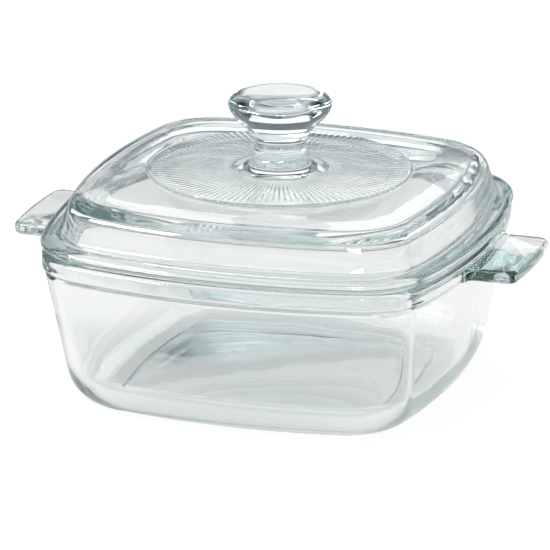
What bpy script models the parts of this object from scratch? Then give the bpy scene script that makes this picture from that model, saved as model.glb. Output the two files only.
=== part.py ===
"""Covered casserole dish in clear pressed glass: a square dish with two tab handles, and a
lift-off cover with a moulded knob.

Metres, +Z up. The origin is on the table under the middle of the dish, and +X points at one
handle. Each of the two pieces is one glass moulding, so each is one closed solid.
"""

import math
from collections import namedtuple

import bmesh
import bpy
from mathutils import Vector

# An outline is a square with bowed sides and round corners: half its width at the middle of a
# side, the radius of its corners, and the radius of its bowed sides.
Outline = namedtuple("Outline", "half corner side")

# Glass and fit
WALL = 0.005                 # thickness of the moulded walls
FLOOR = 0.006                # thickness of the dish's floor
SEAT_GAP = 0.0003            # between the dish's rim and the cover that rests on it

# Dish
RIM_HEIGHT = 0.0743          # top of the dish's rim above the table
RIM = Outline(0.099, 0.033, 0.290)
RIM_BEAD = 0.0085            # height of the bead round the rim
RIM_ROUND = 0.0022           # edges of the rim
WALL_HEAD = Outline(0.0965, 0.023, 0.295)    # outside of the wall, just below the bead
WALL_FOOT = Outline(0.0857, 0.034, 0.290)    # outside of the wall, run down to the table
HEEL = 0.0187                # outer radius between wall and base
HEEL_INSIDE = 0.0157         # inner radius between wall and floor
FOOT_WIDTH = 0.006           # flat ring that the dish stands on
BASE_RECESS = 0.001          # the base inside that ring stands clear of the table

# Handles, one on each side of the dish
HANDLE_REACH = 0.122         # outer edge, from the middle of the dish
HANDLE_ROOT = 0.0945         # inner end, buried in the rim's bead
HANDLE_WIDTH = 0.057
HANDLE_ROUND = 0.0048        # corners in plan
HANDLE_BOW = 0.0012          # how far the outer edge bows
HANDLE_DROP = 0.003          # top face below the rim
HANDLE_THICKNESS = 0.0058
HANDLE_EDGE = 0.0016         # rounding of its edges

# Cover, with heights above the dish's rim
FLANGE = Outline(0.100, 0.0388, 0.288)
FLANGE_THICKNESS = 0.0065
SKIRT_CLEARANCE = 0.0008     # between the cover's skirt and the inside of the dish
SKIRT_DEPTH = 0.005          # below the dish's rim
SKIRT_TOE = 0.0027           # thickness at its lower edge
SKIRT_ROUND = 0.0010         # outer lower edge of the skirt
DOME_FOOT = Outline(0.0920, 0.0310, 0.280)   # outside of the dome, at the flange
DOME_HEAD = Outline(0.0863, 0.0308, 0.274)   # outside of the dome, run up to the top panel
PANEL_HEIGHT = 0.0247        # edge of the top panel
PANEL_CROWN = 0.0020         # rise of the panel from its edge to the medallion
PANEL_THICKNESS = 0.007
SHOULDER = 0.0094            # radius between dome and top panel
SHOULDER_INSIDE = 0.0035     # the same on the underside
COVE = 0.0015                # fillet between flange and dome
MEDALLION_RADIUS = 0.0602    # round field in the panel, a step above it
MEDALLION_STEP = 0.0006

# Knob, turned about the cover's vertical axis: (radius, height above the dish's rim)
KNOB_FOOT_RADIUS = 0.0216
KNOB_NECK_RADIUS = 0.0119
KNOB_NECK_BOTTOM = 0.0350
KNOB_NECK_TOP = 0.0395
KNOB_CROWN_RADIUS = 0.02365
KNOB_CROWN_HEIGHT = 0.0575
KNOB_TOP_RADIUS = 0.0165
KNOB_TOP_HEIGHT = 0.0618

# Facets
SIDE_STEPS = 3               # half of a side
CORNER_STEPS = 4             # half of a corner
RING_POINTS = 8 * (SIDE_STEPS + CORNER_STEPS)
EDGE_STEPS = 3               # rounded edges of rim and handles
FILLET_STEPS = 5             # larger fillets
KNOB_STEPS = 4               # foot and crown of the knob
BELL_STEPS = 6               # its flare from neck to crown
SHARP_ANGLE = 35             # degrees between faces, from which an edge is shaded sharp


def grown(outline, by):
    """The parallel outline that lies outside this one, or inside it where by is negative."""
    return Outline(outline.half + by, outline.corner + by, outline.side + by)


def sized(outline, half):
    """The parallel outline whose half width is given."""
    return grown(outline, half - outline.half)


def between(first, second, share):
    """The outline that lies this share of the way from the first to the second."""
    return Outline(*(a + (b - a) * share for a, b in zip(first, second)))


def outline_points(outline):
    """Points round an outline, anticlockwise from the middle of its +X side."""
    half, corner, side = outline
    bow = math.acos((side - half) / ((side - corner) * math.sqrt(2))) - math.pi / 4
    centre = (side - corner) * math.sin(bow)
    octant = []
    for step in range(SIDE_STEPS):
        angle = bow * step / SIDE_STEPS
        octant.append((half - side + side * math.cos(angle), side * math.sin(angle)))
    for step in range(CORNER_STEPS + 1):
        angle = bow + (math.pi / 4 - bow) * step / CORNER_STEPS
        octant.append((centre + corner * math.cos(angle), centre + corner * math.sin(angle)))
    quarter = octant + [(y, x) for x, y in reversed(octant[1:-1])]
    points = []
    for _ in range(4):
        points.extend(quarter)
        quarter = [(-y, x) for x, y in quarter]
    return points


def circle_points(radius):
    """Points round a circle, as many as round an outline."""
    angles = [2 * math.pi * step / RING_POINTS for step in range(RING_POINTS)]
    return [(radius * math.cos(angle), radius * math.sin(angle)) for angle in angles]


def quarter_angles(steps):
    """Angles from zero to a quarter turn, in radians."""
    return [math.pi / 2 * step / steps for step in range(steps + 1)]


def arc(centre, height, radius, start, end, steps):
    """(half width, height) along an arc in the profile's plane. Angles are in degrees from +X."""
    points = []
    for step in range(steps + 1):
        angle = math.radians(start + (end - start) * step / steps)
        points.append((centre + radius * math.cos(angle), height + radius * math.sin(angle)))
    return points


def loft(name, rings, origin=(0, 0, 0)):
    """A closed solid through rings of equally many points, each ring a (points, height) pair."""
    bm = bmesh.new()
    rows = []
    for points, height in rings:
        rows.append([bm.verts.new(Vector((x, y, height)) - Vector(origin)) for x, y in points])
    for lower, upper in zip(rows, rows[1:]):
        for here in range(len(lower)):
            there = (here + 1) % len(lower)
            bm.faces.new((lower[here], lower[there], upper[there], upper[here]))
    bm.faces.new(rows[0])
    bm.faces.new(rows[-1])
    bmesh.ops.recalc_face_normals(bm, faces=bm.faces)
    mesh = bpy.data.meshes.new(name)
    bm.to_mesh(mesh)
    bm.free()
    body = bpy.data.objects.new(name, mesh)
    body.location = origin
    bpy.context.scene.collection.objects.link(body)
    return body


def glass(name, colour):
    """Clear pressed glass."""
    material = bpy.data.materials.new(name)
    material.use_nodes = True
    shader = material.node_tree.nodes["Principled BSDF"]
    shader.inputs["Base Color"].default_value = (*colour, 1.0)
    shader.inputs["Roughness"].default_value = 0.03
    shader.inputs["Metallic"].default_value = 0.0
    shader.inputs["Transmission Weight"].default_value = 1.0
    shader.inputs["IOR"].default_value = 1.5
    return material


def finish(body, material):
    """Gives a piece its material and smooth shading, with its tighter edges kept sharp."""
    body.data.materials.append(material)
    body.data.shade_smooth()
    body.data.set_sharp_from_angle(angle=math.radians(SHARP_ANGLE))


def tapered_wall(z):
    """Outside of the dish's wall at height z."""
    head_height = RIM_HEIGHT - RIM_BEAD
    return between(WALL_FOOT, WALL_HEAD, z / head_height)


def corner_fillet(wall_half, slope, radius, base):
    """Arc that joins the sloping wall to a floor at height base, from the wall inwards.

    wall_half is the wall's half width where it would meet height zero.
    """
    height = base + radius
    lean = math.degrees(math.atan(slope))
    centre = wall_half + slope * height - radius * math.hypot(1, slope)
    return arc(centre, height, radius, -lean, -90, FILLET_STEPS)


def dish_rings():
    """Rings of the dish, from its inner floor over the rim to the base."""
    slope = (WALL_HEAD.half - WALL_FOOT.half) / (RIM_HEIGHT - RIM_BEAD)
    lining = WALL * math.hypot(1, slope)
    rings = []
    for half, z in reversed(corner_fillet(WALL_FOOT.half - lining, slope, HEEL_INSIDE, FLOOR)):
        rings.append((sized(tapered_wall(z), half), z))
    inner_head = grown(tapered_wall(RIM_HEIGHT), -lining)
    lip = arc(inner_head.half + RIM_ROUND, RIM_HEIGHT - RIM_ROUND, RIM_ROUND, 180, 90, EDGE_STEPS)
    rings.extend((sized(inner_head, half), z) for half, z in lip)
    edge = arc(RIM.half - RIM_ROUND, RIM_HEIGHT - RIM_ROUND, RIM_ROUND, 90, 0, EDGE_STEPS)
    rings.extend((sized(RIM, half), z) for half, z in edge)
    head_height = RIM_HEIGHT - RIM_BEAD
    rings.append((RIM, head_height + RIM_ROUND))
    rings.append((grown(RIM, -RIM_ROUND / 3), head_height + RIM_ROUND / 3))
    rings.append((WALL_HEAD, head_height - RIM_ROUND / 3))
    for half, z in corner_fillet(WALL_FOOT.half, slope, HEEL, 0):
        rings.append((sized(tapered_wall(z), half), z))
    foot = rings[-1][0]
    rings.append((grown(foot, -FOOT_WIDTH), 0))
    rings.append((grown(foot, -FOOT_WIDTH - BASE_RECESS), BASE_RECESS))
    return [(outline_points(outline), z) for outline, z in rings]


def handle_points():
    """Plan of the handle on the +X side: a tab with round outer corners and a bowed outer edge."""
    half = HANDLE_WIDTH / 2
    points = [(HANDLE_ROOT, -half)]
    corner_x = HANDLE_REACH - HANDLE_BOW - HANDLE_ROUND
    for angle in quarter_angles(EDGE_STEPS):
        x = corner_x + HANDLE_ROUND * math.sin(angle)
        points.append((x, -half + HANDLE_ROUND * (1 - math.cos(angle))))
    points.append((HANDLE_REACH, 0))
    points.extend((x, -y) for x, y in reversed(points[:-1]))
    return points


def inset_points(points, by):
    """The handle's plan drawn in by the same amount on each side but its root."""
    reach = HANDLE_REACH - HANDLE_ROOT
    across = (HANDLE_WIDTH - 2 * by) / HANDLE_WIDTH
    along = (reach - by) / reach
    return [(HANDLE_ROOT + (x - HANDLE_ROOT) * along, y * across) for x, y in points]


def handle(side):
    """Solid of one tab handle, which is merged into the dish. side is 1 or -1."""
    plan = [(side * x, y) for x, y in handle_points()]
    drawn_in = [(side * x, y) for x, y in inset_points(handle_points(), HANDLE_EDGE)]
    top = RIM_HEIGHT - HANDLE_DROP
    bottom = top - HANDLE_THICKNESS
    rings = [
        (drawn_in, bottom),
        (plan, bottom + HANDLE_EDGE),
        (plan, top - HANDLE_EDGE),
        (drawn_in, top),
    ]
    body = loft("handle_shape_" + ("right" if side > 0 else "left"), rings)
    body.hide_render = True
    body.display_type = "WIRE"
    return body


def make_dish():
    dish = loft("dish", dish_rings())
    for side in (1, -1):
        merge = dish.modifiers.new("Handle", "BOOLEAN")
        merge.operation = "UNION"
        merge.object = handle(side)
    finish(dish, glass("dish_glass", (0.90, 0.95, 0.94)))


def knob_rings():
    """Rings of the knob, from the foot that flares out of the medallion to its flat top."""
    foot_bottom = PANEL_HEIGHT + PANEL_CROWN + MEDALLION_STEP
    rings = []
    for turn in quarter_angles(KNOB_STEPS):
        radius = KNOB_FOOT_RADIUS - (KNOB_FOOT_RADIUS - KNOB_NECK_RADIUS) * math.sin(turn)
        height = foot_bottom + (KNOB_NECK_BOTTOM - foot_bottom) * (1 - math.cos(turn))
        rings.append((radius, height))
    for step in range(BELL_STEPS + 1):
        share = step / BELL_STEPS
        flare = (1 - math.cos(math.pi * share)) / 2
        radius = KNOB_NECK_RADIUS + (KNOB_CROWN_RADIUS - KNOB_NECK_RADIUS) * flare
        rings.append((radius, KNOB_NECK_TOP + (KNOB_CROWN_HEIGHT - KNOB_NECK_TOP) * share))
    for turn in quarter_angles(KNOB_STEPS)[1:]:
        radius = KNOB_TOP_RADIUS + (KNOB_CROWN_RADIUS - KNOB_TOP_RADIUS) * math.cos(turn)
        height = KNOB_CROWN_HEIGHT + (KNOB_TOP_HEIGHT - KNOB_CROWN_HEIGHT) * math.sin(turn)
        rings.append((radius, height))
    return [(circle_points(radius), RIM_HEIGHT + height) for radius, height in rings]


def cover_rings():
    """Rings of the cover, from its ceiling down to the skirt, out to the flange and up to the knob."""
    slope = (DOME_FOOT.half - DOME_HEAD.half) / (PANEL_HEIGHT - FLANGE_THICKNESS)
    lean = math.degrees(math.atan(slope))
    lining = WALL * math.hypot(1, slope)
    dish_slope = (WALL_HEAD.half - WALL_FOOT.half) / (RIM_HEIGHT - RIM_BEAD)
    dish_mouth = WALL_HEAD.half - WALL * math.hypot(1, dish_slope)
    skirt = dish_mouth - SKIRT_CLEARANCE

    def dome(z):
        return between(DOME_HEAD, DOME_FOOT, (PANEL_HEIGHT - z) / (PANEL_HEIGHT - FLANGE_THICKNESS))

    def shoulder(foot_half, radius, top):
        centre = foot_half - slope * (top - radius) - radius * math.hypot(1, slope)
        return arc(centre, top - radius, radius, lean, 90, FILLET_STEPS)

    outer_foot = DOME_FOOT.half + slope * FLANGE_THICKNESS
    ceiling = PANEL_HEIGHT - PANEL_THICKNESS
    rings = []
    for half, z in reversed(shoulder(outer_foot - lining, SHOULDER_INSIDE, ceiling)):
        rings.append((sized(dome(z), half), z))
    toe = [
        (skirt - SKIRT_TOE, -SKIRT_DEPTH),
        (skirt - SKIRT_ROUND, -SKIRT_DEPTH),
        (skirt, -SKIRT_DEPTH + SKIRT_ROUND),
        (skirt, SEAT_GAP),
    ]
    rings.extend((sized(DOME_FOOT, half), z) for half, z in toe)
    edge = (FLANGE_THICKNESS - SEAT_GAP) / 2
    for half, z in arc(FLANGE.half - edge, SEAT_GAP + edge, edge, -90, 90, 2 * EDGE_STEPS):
        rings.append((sized(FLANGE, half), z))
    rings.append((grown(DOME_FOOT, COVE), FLANGE_THICKNESS))
    rings.append((dome(FLANGE_THICKNESS + COVE), FLANGE_THICKNESS + COVE))
    for half, z in shoulder(outer_foot, SHOULDER, PANEL_HEIGHT):
        rings.append((sized(dome(z), half), z))
    rings = [(outline_points(outline), RIM_HEIGHT + z) for outline, z in rings]
    rings.insert(0, (circle_points(MEDALLION_RADIUS), RIM_HEIGHT + ceiling + PANEL_CROWN))
    panel = RIM_HEIGHT + PANEL_HEIGHT + PANEL_CROWN
    rings.append((circle_points(MEDALLION_RADIUS + MEDALLION_STEP), panel))
    rings.append((circle_points(MEDALLION_RADIUS), panel + MEDALLION_STEP))
    return rings + knob_rings()


def make_cover():
    cover = loft("cover", cover_rings(), origin=(0, 0, RIM_HEIGHT))
    finish(cover, glass("cover_glass", (0.88, 0.94, 0.95)))


for leftover in list(bpy.data.objects):
    bpy.data.objects.remove(leftover, do_unlink=True)
make_dish()
make_cover()
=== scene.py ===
import math
from collections import namedtuple

import bmesh
import bpy
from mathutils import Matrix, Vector


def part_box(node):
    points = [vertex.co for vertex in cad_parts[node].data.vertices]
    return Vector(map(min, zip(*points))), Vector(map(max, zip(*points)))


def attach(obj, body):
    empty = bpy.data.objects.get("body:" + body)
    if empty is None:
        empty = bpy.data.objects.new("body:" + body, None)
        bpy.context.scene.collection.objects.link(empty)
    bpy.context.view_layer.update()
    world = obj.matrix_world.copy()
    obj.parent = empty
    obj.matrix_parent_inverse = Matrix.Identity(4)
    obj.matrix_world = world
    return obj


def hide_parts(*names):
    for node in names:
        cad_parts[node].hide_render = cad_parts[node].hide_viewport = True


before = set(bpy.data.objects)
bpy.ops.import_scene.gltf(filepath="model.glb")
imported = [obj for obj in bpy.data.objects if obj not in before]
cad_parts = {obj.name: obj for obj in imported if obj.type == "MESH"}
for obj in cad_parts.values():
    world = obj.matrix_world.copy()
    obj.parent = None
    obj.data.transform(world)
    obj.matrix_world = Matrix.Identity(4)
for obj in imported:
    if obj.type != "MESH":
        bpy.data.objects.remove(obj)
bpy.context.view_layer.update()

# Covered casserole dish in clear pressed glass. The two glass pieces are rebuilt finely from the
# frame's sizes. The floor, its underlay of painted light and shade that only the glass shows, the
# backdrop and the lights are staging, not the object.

_, dish_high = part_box("dish")
cover_low, cover_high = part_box("cover")

# A square plan with bowed sides: its half width, the radius of its corners and that of its sides.
Outline = namedtuple("Outline", "half corner side")

# ---- dish, in metres, from the frame where it states the size
RIM_HEIGHT = dish_high.z
RIM = Outline(dish_high.y, 0.033, 0.290)
RIM_BEAD = 0.0085
RIM_ROUND = 0.0022
BEAD_BOTTOM = RIM_HEIGHT - RIM_BEAD
BEAD_TURN = 62                # degrees that the bead rounds under towards the wall
BEAD_NECK = (0.0002, 0.0008)  # how far the crease below the bead stands out, and how far down it is
WALL_TOP_DROP = 0.0022
WALL_HEAD = Outline(0.0965, 0.023, 0.295)
WALL_FOOT = Outline(0.0857, 0.034, 0.290)
DRAFT = (WALL_HEAD.half - WALL_FOOT.half) / BEAD_BOTTOM
WALL = 0.005
LINING = WALL * math.hypot(1, DRAFT)
FLOOR = 0.006
HEEL = 0.0187
HEEL_INSIDE = 0.0157
FOOT_WIDTH = 0.006
BASE_RECESS = 0.001
BASE_STEPS = ((0, 0), (1 / 3, 0.3), (1, 0.8), (2, 1))     # inwards and up, in recesses

HANDLE_REACH = dish_high.x
HANDLE_ROOT = 0.0945
HANDLE_SINK = 0.001           # how far inside the rim's face the flare starts
HANDLE_WIDTH = 0.057
HANDLE_ROUND = 0.0048
HANDLE_ROUND_LOSS = 0.6       # share of an inset by which the plan's corner radius shrinks
HANDLE_BOW = 0.0012
HANDLE_DROP = 0.003
HANDLE_THICKNESS = 0.0058
HANDLE_EDGE = 0.0019
HANDLE_FLARE = 0.005

# ---- cover, with its heights above the dish's rim
SEAT_GAP = 0.0003
FLANGE = Outline(cover_high.y, 0.0388, 0.288)
FLANGE_THICKNESS = 0.0065
SKIRT_DEPTH = RIM_HEIGHT - cover_low.z
SKIRT_CLEARANCE = 0.0008
SKIRT_HALF = WALL_HEAD.half - LINING - SKIRT_CLEARANCE
SKIRT_TOE = 0.0027
SKIRT_TOE_ROUND = 0.0010
SKIRT_HEAD = ((0.0, -0.0012), (0.0002, SEAT_GAP * 0.2), (0.0010, SEAT_GAP))   # outwards, height
DOME_FOOT = Outline(0.0920, 0.0310, 0.280)
DOME_HEAD = Outline(0.0863, 0.0308, 0.274)
PANEL_HEIGHT = 0.0247
PANEL_CROWN = 0.0020
PANEL_THICKNESS = 0.007
CEILING = PANEL_HEIGHT - PANEL_THICKNESS
DOME_SLOPE = (DOME_FOOT.half - DOME_HEAD.half) / (PANEL_HEIGHT - FLANGE_THICKNESS)
DOME_LEAN = math.degrees(math.atan(DOME_SLOPE))
DOME_BASE = DOME_FOOT.half + DOME_SLOPE * FLANGE_THICKNESS
COVE = 0.0026
SHOULDER = 0.0094
SHOULDER_INSIDE = 0.0035

MEDALLION_RADIUS = 0.0602
MEDALLION_STEP = 0.0006
MEDALLION_BORDER = (          # outwards from the round field's edge, and height above the panel
    (0.0022, -0.00025),
    (0.0014, -0.00050),
    (0.0007, -0.00050),
    (0.0002, -0.00020),
    (-0.0001, MEDALLION_STEP * 0.75),
    (-0.0006, MEDALLION_STEP),
)
RIBS = 120
GROOVE_DEPTH = 0.00022
RIB_SHARPNESS = 14            # how narrow the grooves between the ribs are
RIB_ROWS = 16
RIB_START = MEDALLION_RADIUS - 0.0022
RIB_START_MARGIN = 0.0008
RIB_END_MARGIN = 0.0007
RIB_FADE = 0.35               # share of the grooves' depth at their two ends
RIB_START_RISE = 8            # how fast it grows from the outer end, along the ribs' length
RIB_END_FALL = 5              # and how fast it falls to the inner end

KNOB_TOP_HEIGHT = cover_high.z - RIM_HEIGHT
KNOB_FOOT_RADIUS = 0.0216
KNOB_NECK_RADIUS = 0.0119
KNOB_NECK_BOTTOM = 0.0350
KNOB_NECK_TOP = 0.0395
KNOB_CROWN_RADIUS = 0.02365
KNOB_CROWN_HEIGHT = 0.0575
KNOB_TOP_RADIUS = 0.0165
KNOB_TOP_DIP = 0.0007
KNOB_TOP_REACH = 0.97         # share of the top's radius that its rings cover
RIB_END = KNOB_FOOT_RADIUS + 0.0016

# ---- how finely the glass is made
SIDE_STEPS = 7
CORNER_STEPS = 23
RING_POINTS = 8 * (SIDE_STEPS + CORNER_STEPS)
RIB_POINTS = 4 * RING_POINTS      # eight for each rib
EDGE_STEPS = 7
BEAD_STEPS = 6
WALL_STEPS = 12
HEEL_STEPS = 18
HEEL_INSIDE_STEPS = 14
HANDLE_PLAN_STEPS = 8
HANDLE_EDGE_STEPS = 5
SHOULDER_STEPS = 16
LINING_STEPS = 8
TOE_STEPS = 4
LIP_STEPS = 18
COVE_STEPS = 6
DOME_STEPS = 6
KNOB_TURN_STEPS = 12
KNOB_BELL_STEPS = 20
KNOB_TOP_STEPS = 8
SHARP_ANGLE = 40              # degrees; sharper edges are shaded as creases

# ---- glass
GLASS_TINT = (0.85, 0.905, 0.90)
GLASS_DENSITY = 18.0          # per metre
GLASS_IOR = 1.50
CORD_TINTS = [(0.35, (1.0, 1.0, 1.0)), (0.65, (0.972, 0.992, 0.988))]
WORN_HEIGHT = 0.0006          # how far up the scuffs reach from what the piece stands on

# ---- staging
FLOOR_RADIUS = 12.0
FLOOR_HEIGHT = -0.0004
FLOOR_BASE = (0.34, 0.34, 0.34)
FLOOR_REACH = 4.0             # metres from the dish's middle to where the floor is white
# the floor's own glow is painted light, dimmest round the dish as painted shade and white far out
FLOOR_GLOW = [(0.0, (0.80, 0.80, 0.80)), (0.1, (0.84, 0.84, 0.84)), (1.0, (1.0, 1.0, 1.0))]
FLOOR_GLOW_STRENGTH = 1.05
UNDERLAY_HEIGHT = -0.0002
UNDERLAY_REACH = 1.2          # metres from the dish's middle to the end of the ramp
# painted light and shade seen only through the glass: a grey middle as the dish's painted shadow, white
# round it, a dark grey-blue ring as a painted room, pale far out
UNDERLAY_PAINTED_LIGHT_AND_SHADE = [
    (0.0, (0.66, 0.69, 0.69)),
    (0.068, (0.74, 0.77, 0.77)),
    (0.095, (0.96, 0.96, 0.95)),
    (0.235, (0.95, 0.95, 0.94)),
    (0.305, (0.31, 0.36, 0.37)),
    (0.50, (0.24, 0.28, 0.29)),
    (0.85, (0.85, 0.87, 0.88)),
]
BACKDROP_RADIUS = 11.5
BACKDROP_HEIGHT = 8.0
BACKDROP_GLOW_STRENGTH = 1.1
STAGE_SIDES = 96
SKY_TINTS = [                 # by the height of the direction, from the horizon to overhead
    (0.0, (0.17, 0.205, 0.215)),
    (0.30, (0.125, 0.15, 0.16)),
    (0.50, (0.15, 0.18, 0.19)),
    (0.56, (0.03, 0.035, 0.04)),
    (0.68, (0.03, 0.035, 0.04)),
    (0.78, (0.70, 0.74, 0.75)),
    (1.0, (0.9, 0.93, 0.94)),
]

CAMERA_AZIMUTH = 18.55
CAMERA_ELEVATION = 18.07
CAMERA_DISTANCE = 2.477
CAMERA_LENS = 353.3
CAMERA_SENSOR = 36.0
AIM_RIGHT = -0.0023
AIM_UP = -0.0237


# ---- outlines and rings
def grown(outline, by):
    """The parallel outline that lies outside this one, or inside it where by is negative."""
    return Outline(outline.half + by, outline.corner + by, outline.side + by)


def sized(outline, half):
    """The parallel outline whose half width is given."""
    return grown(outline, half - outline.half)


def between(first, second, share):
    """The outline that lies this share of the way from the first to the second."""
    return Outline(*(a + (b - a) * share for a, b in zip(first, second)))


def outline_points(outline):
    """Points round an outline, anticlockwise from the middle of its +X side."""
    half, corner, side = outline
    bow = math.acos((side - half) / ((side - corner) * math.sqrt(2))) - math.pi / 4
    centre = (side - corner) * math.sin(bow)
    octant = []
    for step in range(SIDE_STEPS):
        angle = bow * step / SIDE_STEPS
        octant.append((half - side + side * math.cos(angle), side * math.sin(angle)))
    for step in range(CORNER_STEPS + 1):
        angle = bow + (math.pi / 4 - bow) * step / CORNER_STEPS
        octant.append((centre + corner * math.cos(angle), centre + corner * math.sin(angle)))
    quarter = octant + [(y, x) for x, y in reversed(octant[1:-1])]
    points = []
    for _ in range(4):
        points.extend(quarter)
        quarter = [(-y, x) for x, y in quarter]
    return points


def circle_points(radius, count=RING_POINTS):
    """Points round a circle, as many as round an outline unless a count is given."""
    angles = [2 * math.pi * step / count for step in range(count)]
    return [(radius * math.cos(angle), radius * math.sin(angle)) for angle in angles]


def level(points, height):
    """A ring of points at one height."""
    return [(x, y, height) for x, y in points]


def arc(centre, height, radius, start, end, steps):
    """(half width, height) along an arc in the profile's plane. Angles are in degrees from +X."""
    points = []
    for step in range(steps + 1):
        angle = math.radians(start + (end - start) * step / steps)
        points.append((centre + radius * math.cos(angle), height + radius * math.sin(angle)))
    return points


def straight(start, end, steps):
    """Points strictly between two (half width, height) points."""
    shares = [step / steps for step in range(1, steps)]
    return [
        (start[0] + (end[0] - start[0]) * share, start[1] + (end[1] - start[1]) * share)
        for share in shares
    ]


def quarter_angles(steps):
    """Angles from zero to a quarter turn, in radians."""
    return [math.pi / 2 * step / steps for step in range(steps + 1)]


def join_rings(bm, lower, upper):
    """Faces between two rings, where one may have a whole number of times the other's points."""
    if len(lower) > len(upper):
        many, few = lower, upper
    else:
        many, few = upper, lower
    times = len(many) // len(few)
    for here in range(len(few)):
        there = (here + 1) % len(few)
        side = [many[(here * times + step) % len(many)] for step in range(times + 1)]
        bm.faces.new([few[here], few[there]] + side[::-1])


def linked_object(name, bm):
    """The object of a bmesh, in the scene's collection."""
    mesh = bpy.data.meshes.new(name)
    bm.to_mesh(mesh)
    bm.free()
    body = bpy.data.objects.new(name, mesh)
    bpy.context.scene.collection.objects.link(body)
    return body


def loft(name, rings):
    """A closed mesh object through rings of (x, y, z) points, capped at both ends."""
    bm = bmesh.new()
    rows = [[bm.verts.new(point) for point in ring] for ring in rings]
    for lower, upper in zip(rows, rows[1:]):
        join_rings(bm, lower, upper)
    bm.faces.new(rows[0])
    bm.faces.new(rows[-1])
    bmesh.ops.recalc_face_normals(bm, faces=bm.faces)
    return linked_object(name, bm)


def shade(body, material):
    """Smooth shading with the tighter edges kept crisp, and the material."""
    body.data.materials.clear()
    body.data.materials.append(material)
    body.data.shade_smooth()
    body.data.set_sharp_from_angle(angle=math.radians(SHARP_ANGLE))


# ---- materials
def new_material(name):
    material = bpy.data.materials.new(name)
    material.use_nodes = True
    return material, material.node_tree.nodes, material.node_tree.links


def colour_ramp(nodes, stops):
    ramp = nodes.new("ShaderNodeValToRGB")
    while len(ramp.color_ramp.elements) < len(stops):
        ramp.color_ramp.elements.new(0.5)
    for element, (position, colour) in zip(ramp.color_ramp.elements, stops):
        element.position = position
        element.color = (*colour, 1.0)
    return ramp


def noise_field(nodes, links, place, scale, detail, stretch=(1.0, 1.0, 1.0)):
    """The value of a noise in the object's own space, drawn out along its axes by stretch."""
    mapping = nodes.new("ShaderNodeMapping")
    mapping.inputs["Scale"].default_value = stretch
    links.new(place.outputs["Object"], mapping.inputs["Vector"])
    field = nodes.new("ShaderNodeTexNoise")
    field.inputs["Scale"].default_value = scale
    field.inputs["Detail"].default_value = detail
    links.new(mapping.outputs["Vector"], field.inputs["Vector"])
    return field.outputs["Fac"]


def remapped(nodes, links, value, from_range, to_range):
    """A value taken from one range to another, and kept inside the second."""
    change = nodes.new("ShaderNodeMapRange")
    change.inputs["From Min"].default_value, change.inputs["From Max"].default_value = from_range
    change.inputs["To Min"].default_value, change.inputs["To Max"].default_value = to_range
    links.new(value, change.inputs["Value"])
    return change.outputs["Result"]


def combined(nodes, links, operation, first, second):
    """Two values put together by a maths operation."""
    maths = nodes.new("ShaderNodeMath")
    maths.operation = operation
    links.new(first, maths.inputs[0])
    links.new(second, maths.inputs[1])
    return maths.outputs["Value"]


def by_distance(nodes, links, stops, reach):
    """Colours laid out by distance from the object's own middle, the last at this reach."""
    place = nodes.new("ShaderNodeTexCoord")
    distance = nodes.new("ShaderNodeVectorMath")
    distance.operation = "LENGTH"
    links.new(place.outputs["Object"], distance.inputs[0])
    ramp = colour_ramp(nodes, stops)
    share = remapped(nodes, links, distance.outputs["Value"], from_range=(0.0, reach), to_range=(0.0, 1.0))
    links.new(share, ramp.inputs["Fac"])
    return ramp.outputs["Color"]


def glass_roughness(nodes, links, place, worn_height):
    """A trace of haze from handling, and scuffs on what the piece stands on, up to worn_height."""
    handling = noise_field(nodes, links, place, scale=38.0, detail=3.0)
    haze = remapped(nodes, links, handling, from_range=(0.45, 0.75), to_range=(0.0, 0.05))
    apart = nodes.new("ShaderNodeSeparateXYZ")
    links.new(place.outputs["Object"], apart.inputs["Vector"])
    fade_out = (worn_height * 0.5, worn_height)
    contact = remapped(nodes, links, apart.outputs["Z"], from_range=fade_out, to_range=(1.0, 0.0))
    grit = noise_field(nodes, links, place, scale=260.0, detail=2.0)
    grit_roughness = remapped(nodes, links, grit, from_range=(0.35, 0.65), to_range=(0.16, 0.26))
    scuffs = combined(nodes, links, "MULTIPLY", contact, grit_roughness)
    return combined(nodes, links, "MAXIMUM", haze, scuffs)


def pressed_glass(name, worn_height):
    """Clear pressed glass, faintly green in its depth.

    Its faces are slightly wavy from the mould, and pale cords of denser glass run through it.
    """
    material, nodes, links = new_material(name)
    shader = nodes["Principled BSDF"]
    shader.inputs["Transmission Weight"].default_value = 1.0
    shader.inputs["IOR"].default_value = GLASS_IOR
    place = nodes.new("ShaderNodeTexCoord")

    cords = noise_field(nodes, links, place, scale=14.0, detail=2.0, stretch=(1.0, 1.0, 3.5))
    cord_tint = colour_ramp(nodes, CORD_TINTS)
    links.new(cords, cord_tint.inputs["Fac"])
    links.new(cord_tint.outputs["Color"], shader.inputs["Base Color"])
    links.new(glass_roughness(nodes, links, place, worn_height), shader.inputs["Roughness"])

    waves = noise_field(nodes, links, place, scale=55.0, detail=1.0)
    bump = nodes.new("ShaderNodeBump")
    bump.inputs["Strength"].default_value = 0.25
    bump.inputs["Distance"].default_value = 0.0004
    links.new(waves, bump.inputs["Height"])
    links.new(bump.outputs["Normal"], shader.inputs["Normal"])

    depth = nodes.new("ShaderNodeVolumeAbsorption")
    depth.inputs["Color"].default_value = (*GLASS_TINT, 1.0)
    depth.inputs["Density"].default_value = GLASS_DENSITY
    links.new(depth.outputs["Volume"], nodes["Material Output"].inputs["Volume"])
    return material


# ---- dish
def tapered_wall(z):
    """Outside of the dish's wall at height z."""
    return between(WALL_FOOT, WALL_HEAD, z / BEAD_BOTTOM)


def corner_fillet(wall_half, radius, base, steps):
    """Arc that joins the sloping wall to a floor at height base, from the wall inwards."""
    height = base + radius
    lean = math.degrees(math.atan(DRAFT))
    centre = wall_half + DRAFT * height - radius * math.hypot(1, DRAFT)
    return arc(centre, height, radius, -lean, -90, steps)


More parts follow.
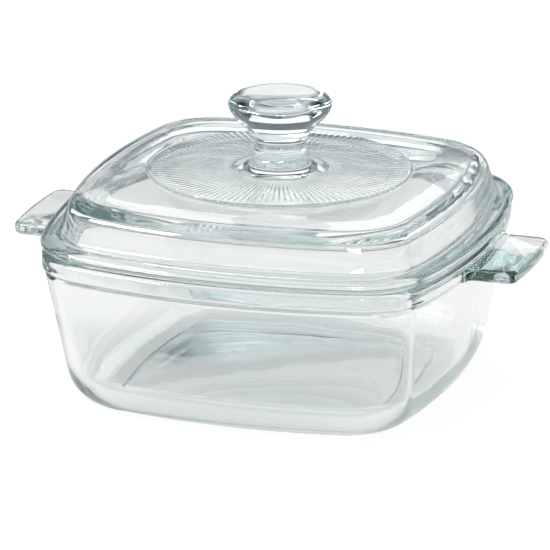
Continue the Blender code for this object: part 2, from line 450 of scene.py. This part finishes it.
def inside_profile():
    """(half width, height) of the dish's inside, from the floor up to just below its lip."""
    fillet = corner_fillet(WALL_FOOT.half - LINING, HEEL_INSIDE, FLOOR, HEEL_INSIDE_STEPS)[::-1]
    head = (tapered_wall(RIM_HEIGHT).half - LINING, RIM_HEIGHT - RIM_ROUND)
    return fillet + straight(fillet[-1], head, WALL_STEPS)


def rim_outlines():
    """(outline, height) over the rim, from its inner edge to the crease below its bead."""
    inner_head = grown(tapered_wall(RIM_HEIGHT), -LINING)
    top = RIM_HEIGHT - RIM_ROUND
    bottom = BEAD_BOTTOM + RIM_ROUND
    outer = RIM.half - RIM_ROUND
    lip = arc(inner_head.half + RIM_ROUND, top, RIM_ROUND, 180, 90, EDGE_STEPS)
    edge = arc(outer, top, RIM_ROUND, 90, 0, EDGE_STEPS)
    bead = arc(outer, bottom, RIM_ROUND, 0, -BEAD_TURN, BEAD_STEPS)
    outlines = [(sized(inner_head, half), z) for half, z in lip]
    outlines += [(sized(RIM, half), z) for half, z in edge + bead]
    stand, drop = BEAD_NECK
    outlines.append((grown(WALL_HEAD, stand), BEAD_BOTTOM - drop))
    return outlines


def dish_rings():
    """Rings of the dish, from its inner floor over the rim to the base."""
    outlines = [(sized(tapered_wall(z), half), z) for half, z in inside_profile()]
    outlines += rim_outlines()
    heel = corner_fillet(WALL_FOOT.half, HEEL, 0, HEEL_STEPS)
    top = (WALL_HEAD.half, BEAD_BOTTOM - WALL_TOP_DROP)
    wall = [top] + straight(top, heel[0], WALL_STEPS)
    outlines += [(sized(tapered_wall(z), half), z) for half, z in wall + heel]
    foot = grown(outlines[-1][0], -FOOT_WIDTH)
    outlines += [(grown(foot, -inwards * BASE_RECESS), up * BASE_RECESS) for inwards, up in BASE_STEPS]
    return [level(outline_points(outline), z) for outline, z in outlines]


def handle_points(inset):
    """Plan of one tab, drawn in by inset: bowed outer edge, round corners, flared root."""
    half = HANDLE_WIDTH / 2 - inset
    reach = HANDLE_REACH - inset
    corner = HANDLE_ROUND - inset * HANDLE_ROUND_LOSS
    root_x = RIM.half - HANDLE_SINK
    points = [(HANDLE_ROOT, -half - HANDLE_FLARE)]
    for angle in quarter_angles(HANDLE_PLAN_STEPS):
        x = root_x + HANDLE_FLARE * (1 - math.cos(angle))
        points.append((x, -half - HANDLE_FLARE * (1 - math.sin(angle))))
    corner_x = reach - HANDLE_BOW - corner
    for angle in quarter_angles(HANDLE_PLAN_STEPS):
        points.append((corner_x + corner * math.sin(angle), -half + corner * (1 - math.cos(angle))))
    for share in (0.25, 0.5, 0.75):
        y = (corner - half) * (1 - share)
        points.append((reach - HANDLE_BOW * (1 - share) ** 2, y))
    points.append((reach, 0.0))
    points.extend((x, -y) for x, y in reversed(points[:-1]))
    return points


def handle(side):
    """Solid of one tab, merged into the dish and then removed. side is 1 or -1."""
    top = RIM_HEIGHT - HANDLE_DROP
    bottom = top - HANDLE_THICKNESS
    lower_edge = arc(0, bottom + HANDLE_EDGE, HANDLE_EDGE, -90, 0, HANDLE_EDGE_STEPS)
    upper_edge = arc(0, top - HANDLE_EDGE, HANDLE_EDGE, 0, 90, HANDLE_EDGE_STEPS)
    rings = []
    for outward, height in lower_edge + upper_edge:
        rings.append([(side * x, y, height) for x, y in handle_points(HANDLE_EDGE - outward)])
    return loft("handle_shape", rings)


def make_dish(material):
    """The dish, with its two tabs merged into one body."""
    dish = loft("dish_glass_body", dish_rings())
    for side in (1, -1):
        tab = handle(side)
        merge = dish.modifiers.new("merge", "BOOLEAN")
        merge.operation = "UNION"
        merge.object = tab
        graph = bpy.context.evaluated_depsgraph_get()
        merged = bpy.data.meshes.new_from_object(dish.evaluated_get(graph))
        dish.modifiers.remove(merge)
        dish.data = merged
        bpy.data.objects.remove(tab, do_unlink=True)
    shade(dish, material)
    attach(dish, "dish")
    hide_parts("dish")


# ---- cover
def dome(z):
    """Outside of the dome's wall at height z above the rim."""
    return between(DOME_HEAD, DOME_FOOT, (PANEL_HEIGHT - z) / (PANEL_HEIGHT - FLANGE_THICKNESS))


def shoulder(base_half, radius, top):
    """Arc from a wall of the dome's slope, base_half wide at the rim, up to a level at top."""
    centre = base_half - DOME_SLOPE * (top - radius) - radius * math.hypot(1, DOME_SLOPE)
    return arc(centre, top - radius, radius, DOME_LEAN, 90, SHOULDER_STEPS)


def underside_outlines():
    """(outline, height) of the cover's underside, from its ceiling down round the skirt."""
    lining = WALL * math.hypot(1, DOME_SLOPE)
    toe_half = SKIRT_HALF - SKIRT_TOE
    toe_height = SKIRT_TOE_ROUND - SKIRT_DEPTH
    ceiling = shoulder(DOME_BASE - lining, SHOULDER_INSIDE, CEILING)[::-1]
    skirt = straight(ceiling[-1], (toe_half, toe_height), LINING_STEPS)
    skirt += arc(toe_half + SKIRT_TOE_ROUND, toe_height, SKIRT_TOE_ROUND, 180, 270, TOE_STEPS)
    skirt += arc(SKIRT_HALF - SKIRT_TOE_ROUND, toe_height, SKIRT_TOE_ROUND, -90, 0, TOE_STEPS)
    skirt += [(SKIRT_HALF + outwards, z) for outwards, z in SKIRT_HEAD]
    outlines = [(sized(dome(z), half), z) for half, z in ceiling]
    return outlines + [(sized(dome(FLANGE_THICKNESS), half), z) for half, z in skirt]


def topside_outlines():
    """(outline, height) of the cover's outside, from the flange's lip up over the shoulder."""
    lip_round = (FLANGE_THICKNESS - SEAT_GAP) / 2
    lip = arc(FLANGE.half - lip_round, SEAT_GAP + lip_round, lip_round, -90, 90, LIP_STEPS)
    cove_top = FLANGE_THICKNESS + COVE
    cove_half = DOME_BASE - DOME_SLOPE * cove_top
    cove = arc(cove_half + COVE, cove_top, COVE, -90, DOME_LEAN - 180, COVE_STEPS)
    outer = shoulder(DOME_BASE, SHOULDER, PANEL_HEIGHT)
    wall = straight(cove[-1], outer[0], DOME_STEPS)
    outlines = [(sized(FLANGE, half), z) for half, z in lip]
    outlines += [(sized(DOME_FOOT, half), z) for half, z in cove]
    return outlines + [(sized(dome(z), half), z) for half, z in wall + outer]


def ribbed_ring(radius, height, depth):
    """A ring of the round field's top, with narrow grooves of this depth between its ribs."""
    points = []
    for step, (x, y) in enumerate(circle_points(radius, RIB_POINTS)):
        groove = abs(math.cos(math.pi * step * RIBS / RIB_POINTS)) ** RIB_SHARPNESS
        points.append((x, y, height - depth * groove))
    return points


def field_rings():
    """Rings of the round field's top, from its edge in to the knob's foot."""
    height = RIM_HEIGHT + PANEL_HEIGHT + PANEL_CROWN + MEDALLION_STEP
    rings = [ribbed_ring(RIB_START + RIB_START_MARGIN, height, 0)]
    for step in range(RIB_ROWS + 1):
        share = step / RIB_ROWS
        radius = RIB_START + (RIB_END - RIB_START) * share
        fade = min(1, RIB_FADE + RIB_START_RISE * share, RIB_FADE + RIB_END_FALL * (1 - share))
        rings.append(ribbed_ring(radius, height, GROOVE_DEPTH * fade * radius / RIB_START))
    rings.append(ribbed_ring(RIB_END - RIB_END_MARGIN, height, 0))
    return rings


def knob_rings():
    """Rings of the knob, from the foot that flares out of the round field to its dipped top."""
    foot_bottom = PANEL_HEIGHT + PANEL_CROWN + MEDALLION_STEP
    profile = []
    for turn in quarter_angles(KNOB_TURN_STEPS):
        radius = KNOB_FOOT_RADIUS - (KNOB_FOOT_RADIUS - KNOB_NECK_RADIUS) * math.sin(turn)
        rise = (KNOB_NECK_BOTTOM - foot_bottom) * (1 - math.cos(turn))
        profile.append((radius, foot_bottom + rise))
    for step in range(KNOB_BELL_STEPS + 1):
        share = step / KNOB_BELL_STEPS
        flare = (1 - math.cos(math.pi * share)) / 2
        radius = KNOB_NECK_RADIUS + (KNOB_CROWN_RADIUS - KNOB_NECK_RADIUS) * flare
        profile.append((radius, KNOB_NECK_TOP + (KNOB_CROWN_HEIGHT - KNOB_NECK_TOP) * share))
    for turn in quarter_angles(KNOB_TURN_STEPS)[1:]:
        radius = KNOB_TOP_RADIUS + (KNOB_CROWN_RADIUS - KNOB_TOP_RADIUS) * math.cos(turn)
        rise = (KNOB_TOP_HEIGHT - KNOB_CROWN_HEIGHT) * math.sin(turn)
        profile.append((radius, KNOB_CROWN_HEIGHT + rise))
    for turn in quarter_angles(KNOB_TOP_STEPS)[1:]:
        radius = KNOB_TOP_RADIUS * (1 - KNOB_TOP_REACH * turn / (math.pi / 2))
        profile.append((radius, KNOB_TOP_HEIGHT - KNOB_TOP_DIP * math.sin(turn)))
    return [level(circle_points(radius), RIM_HEIGHT + z) for radius, z in profile]


def cover_rings():
    """Rings of the cover, from its ceiling down to the skirt, out to the flange and up to the knob."""
    panel = RIM_HEIGHT + PANEL_HEIGHT + PANEL_CROWN
    rings = [level(circle_points(MEDALLION_RADIUS), RIM_HEIGHT + CEILING + PANEL_CROWN)]
    for outline, z in underside_outlines() + topside_outlines():
        rings.append(level(outline_points(outline), RIM_HEIGHT + z))
    for outwards, height in MEDALLION_BORDER:
        rings.append(level(circle_points(MEDALLION_RADIUS + outwards), panel + height))
    return rings + field_rings() + knob_rings()


def make_cover(material):
    """The cover, one body with its knob."""
    cover = loft("cover_glass_body", cover_rings())
    shade(cover, material)
    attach(cover, "cover")
    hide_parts("cover")


# ---- staging: floor, light, camera
def disc(name, height, material):
    """A flat round stage of the floor's size at this height."""
    bm = bmesh.new()
    bmesh.ops.create_circle(bm, cap_ends=True, radius=FLOOR_RADIUS, segments=STAGE_SIDES)
    body = linked_object(name, bm)
    body.location.z = height
    body.data.materials.append(material)
    return body


def make_floor():
    """A plain pale floor. In its place the glass shows an underlay of painted light and shade."""
    pale, nodes, links = new_material("floor_look")
    shader = nodes["Principled BSDF"]
    shader.inputs["Base Color"].default_value = (*FLOOR_BASE, 1.0)
    shader.inputs["Roughness"].default_value = 0.6
    shader.inputs["Specular IOR Level"].default_value = 0.0
    # painted light: the floor's glow, dimmer round the dish as painted shade
    links.new(by_distance(nodes, links, FLOOR_GLOW, FLOOR_REACH), shader.inputs["Emission Color"])
    shader.inputs["Emission Strength"].default_value = FLOOR_GLOW_STRENGTH
    floor = disc("floor", FLOOR_HEIGHT, pale)
    floor.visible_transmission = False
    floor.visible_glossy = False

    # a glowing underlay of painted light and shade in place of the floor, seen only through the glass
    painted_underlay_look, nodes, links = new_material("underlay_painted_light_and_shade")
    glow = nodes.new("ShaderNodeEmission")
    links.new(by_distance(nodes, links, UNDERLAY_PAINTED_LIGHT_AND_SHADE, UNDERLAY_REACH), glow.inputs["Color"])
    links.new(glow.outputs["Emission"], nodes["Material Output"].inputs["Surface"])
    underlay = disc("underlay", UNDERLAY_HEIGHT, painted_underlay_look)
    underlay.visible_camera = False
    underlay.visible_diffuse = False
    underlay.visible_shadow = False


def make_backdrop():
    """A plain white wall round the floor, behind the dish in low views. The glass doesn't show it."""
    bm = bmesh.new()
    bmesh.ops.create_cone(
        bm, cap_ends=False, radius1=BACKDROP_RADIUS, radius2=BACKDROP_RADIUS,
        depth=BACKDROP_HEIGHT, segments=STAGE_SIDES)
    wall = linked_object("backdrop", bm)
    material, nodes, links = new_material("backdrop_look")
    glow = nodes.new("ShaderNodeEmission")
    glow.inputs["Color"].default_value = (1.0, 1.0, 1.0, 1.0)
    glow.inputs["Strength"].default_value = BACKDROP_GLOW_STRENGTH
    links.new(glow.outputs["Emission"], nodes["Material Output"].inputs["Surface"])
    wall.data.materials.append(material)
    wall.visible_diffuse = False
    wall.visible_glossy = False
    wall.visible_transmission = False
    wall.visible_shadow = False


def make_world():
    """A grey room, with a near-black band above and a pale ceiling, which the glass shows."""
    world = bpy.data.worlds.new("studio")
    bpy.context.scene.world = world
    world.use_nodes = True
    nodes, links = world.node_tree.nodes, world.node_tree.links
    place = nodes.new("ShaderNodeTexCoord")
    direction = nodes.new("ShaderNodeSeparateXYZ")
    links.new(place.outputs["Generated"], direction.inputs["Vector"])
    ramp = colour_ramp(nodes, SKY_TINTS)
    links.new(direction.outputs["Z"], ramp.inputs["Fac"])
    background = nodes["Background"]
    links.new(ramp.outputs["Color"], background.inputs["Color"])
    background.inputs["Strength"].default_value = 1.0


def toward(azimuth, elevation):
    """Unit vector from the dish. Azimuth 0 is in front, and 90 on the +X side, in degrees."""
    a, e = math.radians(azimuth), math.radians(elevation)
    return Vector((math.sin(a) * math.cos(e), -math.cos(a) * math.cos(e), math.sin(e)))


def add_softbox(name, azimuth, elevation, distance, size, power, gloss_only=True):
    """A large soft light aimed at the dish's rim."""
    light = bpy.data.lights.new(name, "AREA")
    light.shape = "RECTANGLE"
    light.size, light.size_y = size
    light.energy = power
    lamp = bpy.data.objects.new(name, light)
    away = toward(azimuth, elevation)
    lamp.location = Vector((0, 0, RIM_HEIGHT)) + away * distance
    lamp.rotation_mode = "QUATERNION"
    lamp.rotation_quaternion = away.to_track_quat("Z", "Y")
    lamp.visible_diffuse = not gloss_only
    lamp.visible_camera = False
    bpy.context.scene.collection.objects.link(lamp)


def make_light():
    make_world()
    add_softbox("key", -30, 60, distance=1.6, size=(1.0, 1.0), power=8, gloss_only=False)
    add_softbox("left_box", -46, 23, distance=1.3, size=(0.80, 0.20), power=24)
    add_softbox("right_box", 20, 21, distance=1.3, size=(0.45, 0.12), power=9)
    add_softbox("back_box", 198, 28, distance=1.4, size=(1.4, 0.467), power=2.2)
    bpy.context.scene.view_settings.view_transform = "Standard"
    cycles = bpy.context.scene.cycles
    cycles.max_bounces = 48
    cycles.transmission_bounces = 40
    cycles.glossy_bounces = 40
    cycles.diffuse_bounces = 3


def make_camera():
    camera = bpy.data.cameras.new("camera")
    camera.lens = CAMERA_LENS
    camera.sensor_width = CAMERA_SENSOR
    camera.clip_start, camera.clip_end = 0.1, 60.0
    eye = bpy.data.objects.new("camera", camera)
    away = toward(CAMERA_AZIMUTH, CAMERA_ELEVATION)
    turn = away.to_track_quat("Z", "Y")
    aim = Vector((0, 0, RIM_HEIGHT)) + turn @ Vector((AIM_RIGHT, AIM_UP, 0))
    eye.location = aim + away * CAMERA_DISTANCE
    eye.rotation_mode = "QUATERNION"
    eye.rotation_quaternion = turn
    bpy.context.scene.collection.objects.link(eye)
    bpy.context.scene.camera = eye


make_camera()
make_floor()
make_backdrop()
make_light()
make_dish(pressed_glass("dish_pressed_glass", WORN_HEIGHT))
make_cover(pressed_glass("cover_pressed_glass", cover_low.z + WORN_HEIGHT))
